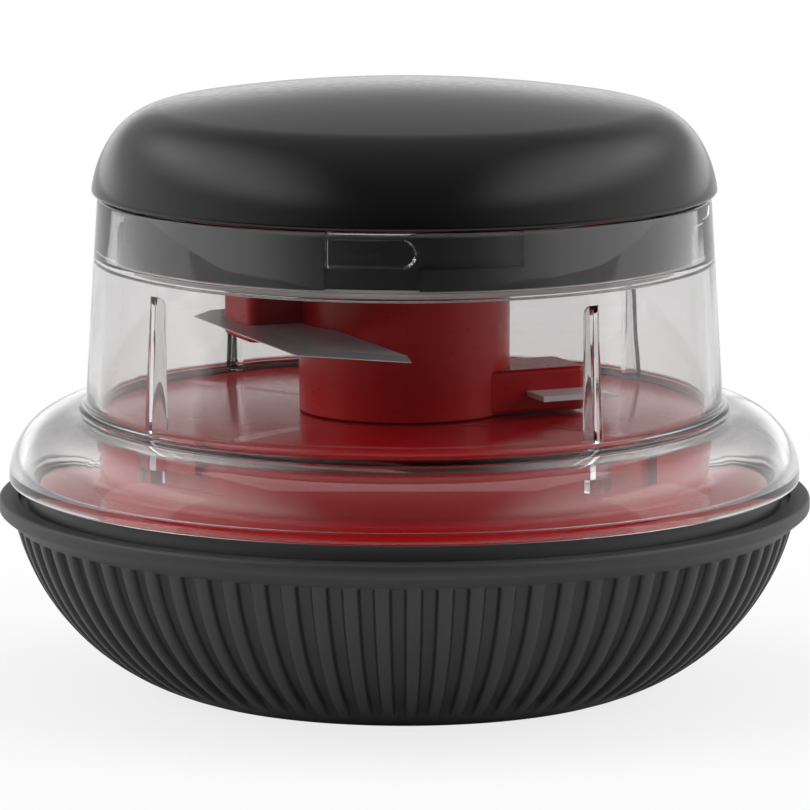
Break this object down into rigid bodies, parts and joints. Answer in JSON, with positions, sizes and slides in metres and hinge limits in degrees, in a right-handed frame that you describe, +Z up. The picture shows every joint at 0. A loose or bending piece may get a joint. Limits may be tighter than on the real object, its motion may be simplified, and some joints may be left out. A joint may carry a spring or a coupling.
{
  "type": "plunger food chopper",
  "caption": "Palm-push food chopper: domed plunger cap over a clear cup, two blades on a turning hub, ribbed bowl-shaped base.",
  "frame": {"origin": "centre of the foot, on the surface the chopper stands on", "axes": "+Z up along the blade spindle, -Y the front of the picture, +X its right"},
  "size_m": [0.1304, 0.1304, 0.0969],
  "materials": {
    "bowl_plastic": "soft-touch moulded charcoal plastic",
    "soft_rubber": "matt moulded elastomer",
    "steel": "plain turned steel",
    "red_plastic": "moulded red plastic",
    "clear_plastic": "clear moulded plastic",
    "lid_plastic": "satin moulded charcoal plastic",
    "seal_silicone": "translucent silicone",
    "bearing_plastic": "natural acetal",
    "brass": "machined brass",
    "cap_gloss": "polished charcoal plastic",
    "blade_steel": "ground stainless steel"
  },
  "bodies": {
    "base": {"base_bowl": "bowl_plastic", "foot_ring": "soft_rubber", "plate_screws": "steel", "chopping_plate": "red_plastic", "spindle_pin": "steel"},
    "housing": {"clear_housing": "clear_plastic"},
    "lid": {"lid_collar": "lid_plastic", "lid_seal": "seal_silicone", "plunger_guide": "lid_plastic", "guide_screws": "steel", "shaft_bush": "bearing_plastic", "return_spring": "steel"},
    "plunger": {"plunger_carrier": "lid_plastic", "drive_nut": "brass", "nut_retainer": "bearing_plastic"},
    "cap": {"palm_cap": "cap_gloss", "cap_retainer": "lid_plastic", "cap_screws": "steel"},
    "drive_shaft": {"spiral_shaft": "steel", "shaft_clip": "steel", "thrust_washer": "steel", "clutch_driver": "bearing_plastic", "driver_pin": "steel"},
    "rotor": {"blade_hub": "red_plastic", "hub_bush": "bearing_plastic", "clutch_socket": "red_plastic", "upper_blade": "blade_steel", "lower_blade": "blade_steel"}
  },
  "joints": [
    {"name": "housing_turn", "type": "hinge", "parent": "base", "child": "housing", "pos_m": [0, 0, 0.04], "axis": [0, 0, 1], "range_deg": [0, 14]},
    {"name": "lid_lift", "type": "slide", "parent": "housing", "child": "lid", "axis": [0, 0, 1], "range_m": [0, 0.06]},
    {"name": "plunger_slide", "type": "slide", "parent": "lid", "child": "plunger", "axis": [0, 0, 1], "range_m": [0, 0.013], "deforming": ["return_spring"]},
    {"name": "cap_turn", "type": "hinge", "parent": "plunger", "child": "cap", "pos_m": [0, 0, 0.09], "axis": [0, 0, 1], "range_deg": [0, 15]},
    {"name": "shaft_turn", "type": "hinge", "parent": "lid", "child": "drive_shaft", "pos_m": [0, 0, 0.07], "axis": [0, 0, 1], "range_deg": [0, 180.1]},
    {"name": "rotor_turn", "type": "hinge", "parent": "base", "child": "rotor", "pos_m": [0, 0, 0.05], "axis": [0, 0, 1], "range_deg": [0, 180.1]}
  ],
  "couplings": [
    {"joint": "shaft_turn", "follows": "plunger_slide", "rad_per_m": 241.66},
    {"joint": "rotor_turn", "follows": "plunger_slide", "rad_per_m": 241.66}
  ]
}
